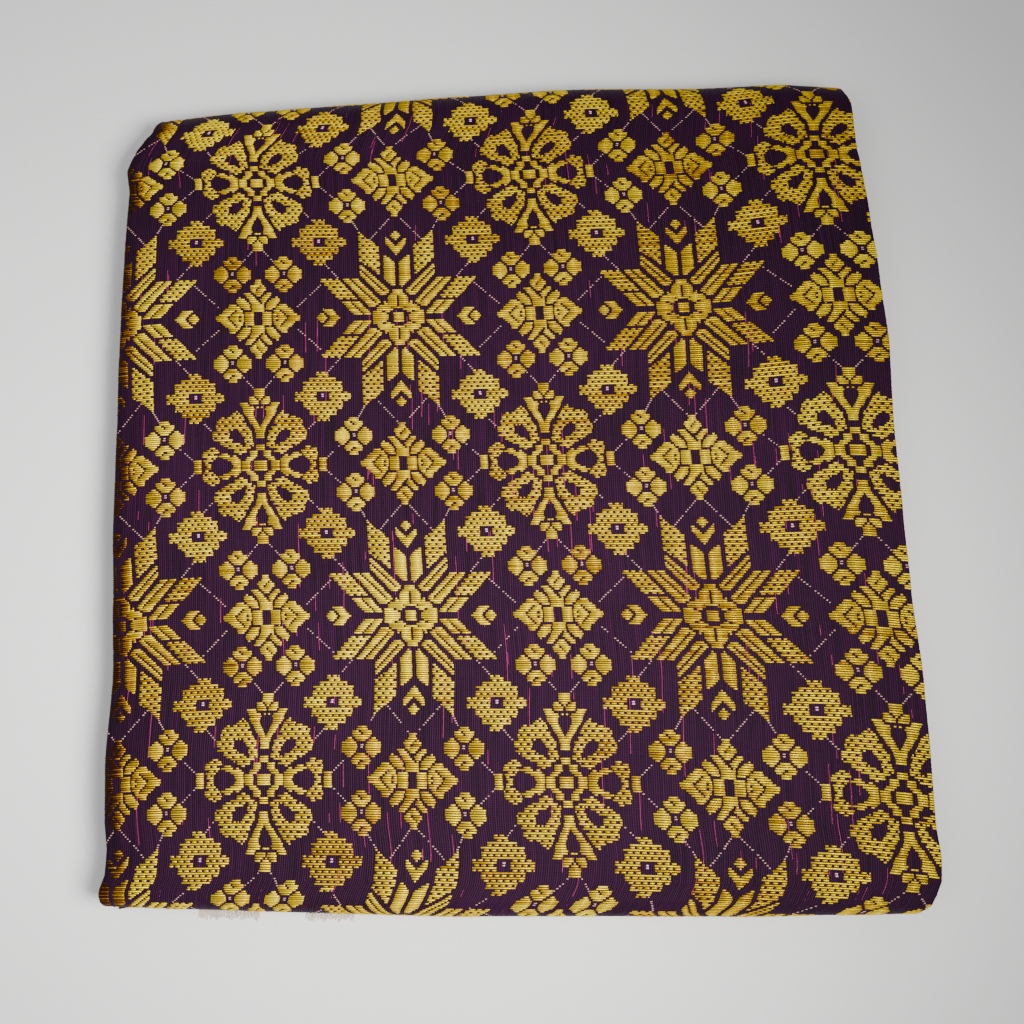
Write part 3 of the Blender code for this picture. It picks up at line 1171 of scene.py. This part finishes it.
@dataclass
class ClothSheet:
    """The ground cloth: one thin sheet through all plies and layers."""

    strip: Strip
    flat_width: float = 1.14
    flat_length: float = 2.46

    def build(self) -> bpy.types.Object:
        """Make the sheet with its weave map.

        Returns:
            The object.
        """
        rows, stations = self.strip.points.shape[:2]
        index = np.arange(rows * stations).reshape(rows, stations)
        corners = (index[:-1, :-1], index[1:, :-1], index[1:, 1:], index[:-1, 1:])
        faces = np.stack([corner.ravel() for corner in corners], -1)
        item = mesh_object("cloth_sheet", self.strip.points.reshape(-1, 3) * MM, faces)
        weft = np.broadcast_to(self.strip.section[None, :, 3], (rows, stations))
        along = np.broadcast_to(self.strip.along[:, None], (rows, stations))
        places = np.stack([weft, along], -1).reshape(-1, 2) * MM
        corner = np.empty(len(item.data.loops), dtype=np.int32)
        item.data.loops.foreach_get("vertex_index", corner)
        layer = item.data.uv_layers.new(name="weave")
        layer.data.foreach_set("uv", places[corner].astype(np.float32).ravel())
        thick = item.modifiers.new("thickness", "SOLIDIFY")
        thick.thickness = self.strip.ply * MM
        thick.offset = 0.0
        return item

    def dress(self, item: bpy.types.Object, others: list[bpy.types.Object]) -> None:
        """Give the finish, hang the sheet on the root and hide the folded cloth's solid.

        Args:
            item: The sheet.
            others: The pieces on it; not used.
        """
        item.data.materials.append(GroundFinish().make())
        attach(item, "root")
        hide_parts("folded_cloth")


@dataclass
class Patterning:
    """The gold weft of all motifs, and the small threads between them."""

    strip: Strip
    weave: Weave = field(default_factory=Weave)
    edge: float = 3.6
    slack: float = 0.06
    seed: int = 11
    end_gap: float = 1.5
    least: float = 0.45
    spare: float = 0.3
    grid: tuple[float, float, float] = (-0.6, 6.2, 0.02)
    tone: float = 0.68
    tone_wave: float = 0.10
    tone_spread: float = 0.07
    float_spread: float = 0.05
    dash_half: float = 0.0058
    dash_skip: int = 7
    dash_spread: float = 0.15
    dot_half: float = 0.009
    diamond: tuple[float, float] = (0.4427, 0.4648)
    rosette_wide: tuple[float, float] = (0.34, 0.185)
    rosette_tall: tuple[float, float] = (0.185, 0.305)
    cells_across: tuple[int, int] = (-1, 6)
    first_cell: int = -9
    spare_cells: int = 4
    side_gaps: tuple[float, float] = (0.4, 0.1)
    slub_sides: tuple[float, float] = (4.0, 5.0)
    slub_ends: tuple[float, float] = (10.0, 12.0)
    slub_least: float = 0.35
    short_share: float = 0.7
    short_slubs: tuple[float, float] = (2.0, 9.0)
    long_slubs: tuple[float, float] = (9.0, 24.0)

    def __post_init__(self) -> None:
        """Start the pieces and the stretches that show."""
        self.random = np.random.default_rng(self.seed)
        self.open = self.strip.open_spans()
        self.stations = self.strip.section[self.strip.face, 3]
        self.grid_u = np.arange(*self.grid)
        self.kinds = {kind.name: ThreadPiece(f"gold_{kind.name}s", self.strip, width=0.80, crest=0.17)
                      for kind in (STAR, FLOWER, MEDALLION, ROSETTE, DIAMOND)}
        self.dots = ThreadPiece("pink_dots", self.strip, width=0.62, crest=0.16)
        self.dashes = ThreadPiece("dashed_lines", self.strip, width=0.50, crest=0.12)
        self.slubs = ThreadPiece("pink_slubs", self.strip, width=0.17, crest=0.06)
        self.cached: dict[tuple, list] = {}
        self.lines: dict[int, tuple] = {}

    def line(self, row: int) -> tuple[np.ndarray, np.ndarray]:
        """Places of one weft row.

        Args:
            row: Number of the row.

        Returns:
            Places across and along the strip, in mm.
        """
        if row not in self.lines:
            v = np.full(self.grid_u.shape, row / self.weave.rows)
            self.lines[row] = (self.weave.weft(self.grid_u, v), self.weave.warp(self.grid_u, v))
        return self.lines[row]

    def showing(self, along: float) -> list[tuple[float, float]]:
        """Stretches across that show.

        Args:
            along: Place along the strip, in mm.

        Returns:
            Start and stop of each stretch, in mm.
        """
        low, high = self.stations[0] + self.side_gaps[0], self.stations[-1] - self.side_gaps[1]
        if along < self.end_gap or along > self.strip.along[-1] - self.end_gap:
            return []
        if any(start <= along <= stop for start, stop in self.open):
            return [(low, high)]
        return [(low, self.edge), (self.strip.width - self.edge, high)]

    def lay(self, piece: ThreadPiece, row: int, start: float, stop: float, tone: float) -> None:
        """Lay one float on a row, clipped to what shows.

        Args:
            piece: The piece that it joins.
            row: Number of the row.
            start: Place in the pattern where it starts.
            stop: Place in the pattern where it stops.
            tone: Its tone.
        """
        weft_line, along_line = self.line(row)
        slack = self.random.normal(0.0, self.slack, 2)
        first, last = np.interp((start, stop), self.grid_u, weft_line) + slack
        middle = np.interp((first + last) / 2, weft_line, along_line)
        for low, high in self.showing(middle):
            a, b = max(first, low), min(last, high)
            if b - a < self.least:
                continue
            inside = (self.stations > a + self.spare) & (self.stations < b - self.spare)
            weft = np.r_[a, self.stations[inside], b]
            piece.threads.append(Thread(weft, np.interp(weft, weft_line, along_line), tone))

    def motif(self, kind: Motif, u: float, v: float) -> None:
        """Weave one motif.

        Args:
            kind: The motif.
            u: Its place across the pattern, in half repeats.
            v: Its place along the pattern, in half repeats.
        """
        rows = self.weave.rows
        centre = round(v * rows)
        step = self.weave.step / 100
        u = round(u / step) * step
        reach = math.ceil(kind.reach * rows / 100)
        motif_tone = self.tone + self.random.normal(0.0, self.tone_spread)
        for row in range(centre - reach, centre + reach + 1):
            key = (kind.name, row - centre, row % DOT_ROWS)
            if key not in self.cached:
                found = kind.spans((row - centre) * 100 / rows + 0.01, row)
                spans = [(round(a / self.weave.step), round(b / self.weave.step)) for a, b in found]
                self.cached[key] = [(a * step, b * step) for a, b in spans if b > a]
            if not self.cached[key]:
                continue
            row_tone = motif_tone + self.tone_wave * math.sin(row * 2.9)
            row_tone += self.random.normal(0.0, self.tone_spread)
            for a, b in self.cached[key]:
                tone = row_tone + self.random.normal(0.0, self.float_spread)
                self.lay(self.kinds[kind.name], row, u + a, u + b, tone)

    def dot(self, piece: ThreadPiece, u: float, v: float) -> None:
        """Weave the small pale middle of a rosette or diamond.

        Args:
            piece: The piece that it joins.
            u: Its place across the pattern, in half repeats.
            v: Its place along the pattern, in half repeats.
        """
        centre = round(v * self.weave.rows)
        for row in (centre - 1, centre):
            self.lay(piece, row, u - self.dot_half, u + self.dot_half, 0.5)

    def dash(self, u: float, v: float, line: Dash) -> None:
        """Weave one dashed line and its mirrored copies.

        Args:
            u: Middle of the copies across the pattern, in half repeats.
            v: Middle of the copies along the pattern, in half repeats.
            line: The line.
        """
        rows = self.weave.rows
        for side, end in Mirror.BOTH.value:
            start, stop = sorted((line.from_y * end, line.to_y * end))
            first, last = math.ceil((v + start / 100) * rows), math.floor((v + stop / 100) * rows)
            for row in range(first, last + 1):
                if row % self.dash_skip == 0:
                    continue
                share = ((row / rows - v) * 100 / end - line.from_y) / (line.to_y - line.from_y)
                x = u + side * (line.from_x + (line.to_x - line.from_x) * share) / 100
                tone = 0.5 + self.random.normal(0.0, self.dash_spread)
                self.lay(self.dashes, row, x - self.dash_half, x + self.dash_half, tone)

    def weave_all(self) -> None:
        """Weave the whole length of the strip."""
        repeat = self.weave.along[2] / self.weave.scale
        last = int((self.strip.along[-1] - self.weave.along[0]) / repeat) + self.spare_cells
        left, right = self.cells_across
        for v in range(self.first_cell, last + 1):
            for u in range(left, right + 1):
                self.cell(u, v)

    def cell(self, u: int, v: int) -> None:
        """Weave the motifs and lines that belong to one crossing of the half repeat.

        Args:
            u: Number of the crossing across.
            v: Number of the crossing along.
        """
        wide = u % 2 == 0
        if wide and v % 2 != 0:
            self.motif(STAR, u, v)
            lines = STAR_DASHES
        elif not wide and v % 2 == 0:
            self.motif(FLOWER, u, v)
            self.around(DIAMOND, self.dots, u, v, self.diamond)
            lines = FLOWER_DASHES
        else:
            self.motif(MEDALLION, u, v)
            self.around(ROSETTE, self.dashes, u, v, self.rosette_wide if wide else self.rosette_tall)
            lines = A_DASHES if wide else B_DASHES
        for line in lines:
            self.dash(u, v, line)

    def around(self, kind: Motif, middle: ThreadPiece, u: float, v: float,
               offset: tuple[float, float]) -> None:
        """Weave four small motifs with pale middles around a place.

        Args:
            kind: The small motif.
            middle: The piece that the pale middles join.
            u: Place across the pattern, in half repeats.
            v: Place along the pattern, in half repeats.
            offset: How far off they lie, across and along.
        """
        for side, end in Mirror.BOTH.value:
            place = (u + side * offset[0], v + end * offset[1])
            self.motif(kind, *place)
            self.dot(middle, *place)

    def slub_all(self, count: int = 300) -> None:
        """Scatter the short pink warp slubs, more of them toward the front right.

        Args:
            count: Number of slubs.
        """
        start, stop = self.open[0]
        width = self.strip.width
        while len(self.slubs.threads) < count:
            weft = self.random.uniform(self.slub_sides[0], width - self.slub_sides[1])
            along = self.random.uniform(start + self.slub_ends[0], stop - self.slub_ends[1])
            corner = (weft / width) * (along - start) / (stop - start)
            share = self.slub_least + (1 - self.slub_least) * corner
            short = self.random.random() < self.short_share
            length = self.random.uniform(*(self.short_slubs if short else self.long_slubs))
            if self.random.random() > share or along + length > stop:
                continue
            places = np.linspace(along, along + length, 2 + int(length / 4.0))
            drift = weft + 0.08 * np.sin(places / 3.0 + weft)
            self.slubs.threads.append(Thread(drift, places, self.random.uniform(0.2, 1.0)))

    def build(self) -> list[bpy.types.Object]:
        """Weave everything and make the pieces, dressed and riding.

        Returns:
            The objects.
        """
        self.weave_all()
        self.slub_all()
        gold = GoldFinish().make()
        pink = YarnFinish("pink_yarn", srgb(120, 6, 74), srgb(224, 30, 130)).make()
        pale = YarnFinish("pale_pink_yarn", srgb(190, 90, 140), srgb(240, 180, 210)).make()
        cream = YarnFinish("dashed_yarn", srgb(140, 92, 88), srgb(212, 170, 150)).make()
        made = [(piece, gold) for piece in self.kinds.values()]
        made += [(self.dots, pale), (self.slubs, pink), (self.dashes, cream)]
        items = []
        for piece, material in made:
            item = piece.build()
            item.data.materials.append(material)
            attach(item, "root")
            items.append(item)
        return items


def tube_faces(steps: int, sides: int) -> list[tuple[int, ...]]:
    """Faces round a tube, open at both ends.

    Args:
        steps: Number of steps along it.
        sides: Number of its sides.

    Returns:
        Rows of four corners.
    """
    faces = []
    for step in range(steps):
        for side in range(sides):
            a, b = sides * step + side, sides * step + (side + 1) % sides
            faces.append((a, b, b + sides, a + sides))
    return faces


@dataclass(frozen=True)
class Fringe:
    """Loose pale threads beyond the first cut end, on the floor."""

    node: str
    start: float
    stop: float
    strands: int
    length: float
    lean: float
    strip_depth: float = 1.1
    strip_gap: float = 0.3
    yarns: int = 5
    yarn: float = 0.12
    yarn_steps: int = 6
    yarn_sides: int = 3
    yarn_room: float = 0.9
    yarn_height: float = 0.16
    yarn_rise: float = 0.10
    yarn_lengths: tuple[float, float] = (0.86, 1.04)
    most_curl: float = 0.25
    floor_gap: float = 0.02

    def build(self, strip: Strip) -> bpy.types.Object:
        """Make the tuft of fine yarns on its narrow strip.

        Args:
            strip: The folded strip, for the place of its cut end.

        Returns:
            The object.
        """
        random = np.random.default_rng(self.strands)
        shares = self.start + (self.stop - self.start) * np.arange(2 * self.strands + 1) / (2 * self.strands)
        root = strip.place(shares, strip.spots[:1])[0]
        root[:, 1] -= self.strip_gap
        points, faces = self.header(root)
        for index in range(self.strands):
            length = self.length * (0.80 + 0.20 * math.sin(index * 2.4) * math.cos(index * 1.1))
            drift = self.lean * length + 0.18 * math.sin(index * 1.7)
            middle = root[2 * index + 1]
            room = (root[2 * index + 2, 0] - root[2 * index, 0]) * self.yarn_room
            for yarn in range(self.yarns):
                spread = (yarn / (self.yarns - 1) - 0.5) * room
                height = self.yarn_height + self.yarn_rise * (yarn % 3)
                yarn_length = length * random.uniform(*self.yarn_lengths)
                curl = random.uniform(-self.most_curl, self.most_curl)
                more, more_faces = self.strand(middle, spread, height, yarn_length, drift, curl)
                faces = np.concatenate([faces, more_faces + len(points)])
                points = np.concatenate([points, more])
        item = mesh_object(self.node + "_yarns", points * MM, faces)
        LOG.info("%s: %d yarns", item.name, self.strands * self.yarns)
        return item

    def header(self, root: np.ndarray) -> tuple[np.ndarray, np.ndarray]:
        """Make the narrow strip that holds the roots.

        Args:
            root: Points along the cut end.

        Returns:
            Its points and faces.
        """
        profile = ((0.0, 0.03), (0.0, 0.42), (-self.strip_depth / 2, 0.5), (-self.strip_depth, 0.40),
                   (-self.strip_depth, 0.03))
        rows = [(spot[0], spot[1] + ahead, z) for spot in root for ahead, z in profile]
        faces = tube_faces(len(root) - 1, len(profile))
        last = len(profile) * (len(root) - 1)
        faces += [(3, 2, 1, 0), (4, 3, 0, 0)]
        faces += [(last, last + 1, last + 2, last + 3), (last, last + 3, last + 4, last + 4)]
        return np.array(rows), np.array(faces)

    def strand(self, middle: np.ndarray, spread: float, height: float, length: float, drift: float,
               curl: float) -> tuple[np.ndarray, np.ndarray]:
        """Make one yarn, a thin tube that tapers to its end.

        Args:
            middle: Root of the strand.
            spread: How far the yarn lies beside it.
            height: Height of the yarn at its root.
            length: How far it reaches.
            drift: How far its end lies to the side.
            curl: How far it bends on the way.

        Returns:
            Its points and faces.
        """
        rows = []
        for step in range(self.yarn_steps + 1):
            part = step / self.yarn_steps
            sway = drift * part * part + curl * math.sin(3.5 * part) * part
            x = middle[0] + spread * (1 + 0.35 * part) + sway
            y = middle[1] - self.strip_depth * 0.7 - (length + self.strip_depth * 0.3) * part
            z = height * (1 - 0.45 * part) + 0.06 * math.sin(7 * part + 9 * curl)
            size = self.yarn * (1 - 0.35 * part)
            z = max(z, size + self.floor_gap)
            for corner in range(self.yarn_sides):
                angle = math.pi / 2 + corner * 2 * math.pi / self.yarn_sides
                rows.append((x + size * math.cos(angle), y, z + size * math.sin(angle)))
        last = self.yarn_sides * self.yarn_steps
        faces = [(0, 2, 1, 1)] + tube_faces(self.yarn_steps, self.yarn_sides)
        faces.append((last, last + 1, last + 2, last + 2))
        return np.array(rows), np.array(faces)

    def dress(self, item: bpy.types.Object, material: bpy.types.Material) -> None:
        """Give the finish and stand in for the fringe's solid.

        Args:
            item: The tuft.
            material: Its finish.
        """
        item.data.materials.append(material)
        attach(item, "root")
        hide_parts(self.node)


FRINGES = (
    Fringe(node="fringe_left", start=0.104, stop=0.184, strands=22, length=4.5, lean=0.10),
    Fringe(node="fringe_right", start=0.246, stop=0.308, strands=16, length=4.0, lean=-0.14),
)


class Lamp(NamedTuple):
    """A soft area light: its place, aim, side, power, colour and spread in degrees."""

    name: str
    place: tuple[float, float, float]
    aim: tuple[float, float, float]
    side: float
    power: float
    colour: Colour
    spread: float


@dataclass(frozen=True)
class Studio:
    """Pale floor, soft lights and the camera at the photographer's angle."""

    floor_half: float = 2.0
    surround: float = 0.44
    sensor: float = 36.0
    image: int = 1024
    azimuth: float = 20.0
    elevation: float = 74.0
    roll: float = -0.35030265
    focal: float = 1540.0
    place: tuple[float, float, float] = (0.05595686, -0.15697421, 0.54890349)
    lamps: tuple[Lamp, ...] = (
        Lamp("key_light", (0.22, -0.20, 0.50), (-0.11, -0.02, 0.0), 0.20, 1.38, (1.0, 0.98, 0.95), 64.0),
        Lamp("fill_light", (-0.3, -0.4, 1.2), (0.0, 0.0, 0.0), 0.8, 5.0, (0.97, 0.98, 1.0), 180.0),
    )

    def build_floor(self) -> bpy.types.Object:
        """Make the floor, which isn't part of the cloth.

        Returns:
            The object.
        """
        half = self.floor_half
        corners = np.array([(-half, -half, 0), (half, -half, 0), (half, half, 0), (-half, half, 0)])
        item = mesh_object("floor", corners, np.array([(0, 1, 2, 3)]))
        item.data.materials.append(FloorFinish().make())
        return item

    def light(self) -> None:
        """Set the lights and the soft surround."""
        for lamp in self.lamps:
            data = bpy.data.lights.new(lamp.name, "AREA")
            data.size, data.energy, data.color = lamp.side, lamp.power, lamp.colour
            data.spread = math.radians(lamp.spread)
            item = bpy.data.objects.new(lamp.name, data)
            bpy.context.scene.collection.objects.link(item)
            item.location = lamp.place
            aim = Vector(lamp.aim) - Vector(lamp.place)
            item.rotation_euler = aim.to_track_quat("-Z", "Y").to_euler()
        world = bpy.data.worlds.new("surround")
        world.use_nodes = True
        back = world.node_tree.nodes["Background"]
        back.inputs["Color"].default_value = (1.0, 1.0, 1.0, 1.0)
        back.inputs["Strength"].default_value = self.surround
        bpy.context.scene.world = world

    def camera(self) -> None:
        """Set the camera."""
        data = bpy.data.cameras.new("camera")
        data.sensor_width = self.sensor
        data.lens = self.focal * self.sensor / self.image
        data.clip_start, data.clip_end = 0.01, 20.0
        azimuth, elevation = math.radians(self.azimuth), math.radians(self.elevation)
        back = Vector((math.sin(azimuth) * math.cos(elevation), -math.cos(azimuth) * math.cos(elevation),
                       math.sin(elevation)))
        level = Vector((0, 0, 1)).cross(back).normalized()
        upright = back.cross(level)
        cos, sin = math.cos(self.roll), math.sin(self.roll)
        right, up = level * cos + upright * sin, upright * cos - level * sin
        turn = Matrix((right, up, back)).transposed().to_4x4()
        item = bpy.data.objects.new("camera", data)
        bpy.context.scene.collection.objects.link(item)
        item.matrix_world = Matrix.Translation(self.place) @ turn
        bpy.context.scene.camera = item


def main() -> None:
    """Build the cloth, its threads, its fringes and the studio."""
    logging.basicConfig(level=logging.INFO, format="%(name)s %(message)s")
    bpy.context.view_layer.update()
    studio = Studio()
    studio.build_floor()
    studio.light()
    studio.camera()
    strip = Strip()
    threads = Patterning(strip).build()
    pale = YarnFinish("pale_cut_yarn", srgb(150, 126, 104), srgb(236, 220, 200), 0.65).make()
    for fringe in FRINGES:
        item = fringe.build(strip)
        fringe.dress(item, pale)
        threads.append(item)
    cloth = ClothSheet(strip)
    sheet = cloth.build()
    cloth.dress(sheet, threads)
    LOG.info("cloth_sheet: %d by %d points", *strip.points.shape[:2])


if __name__ == "__main__":
    main()
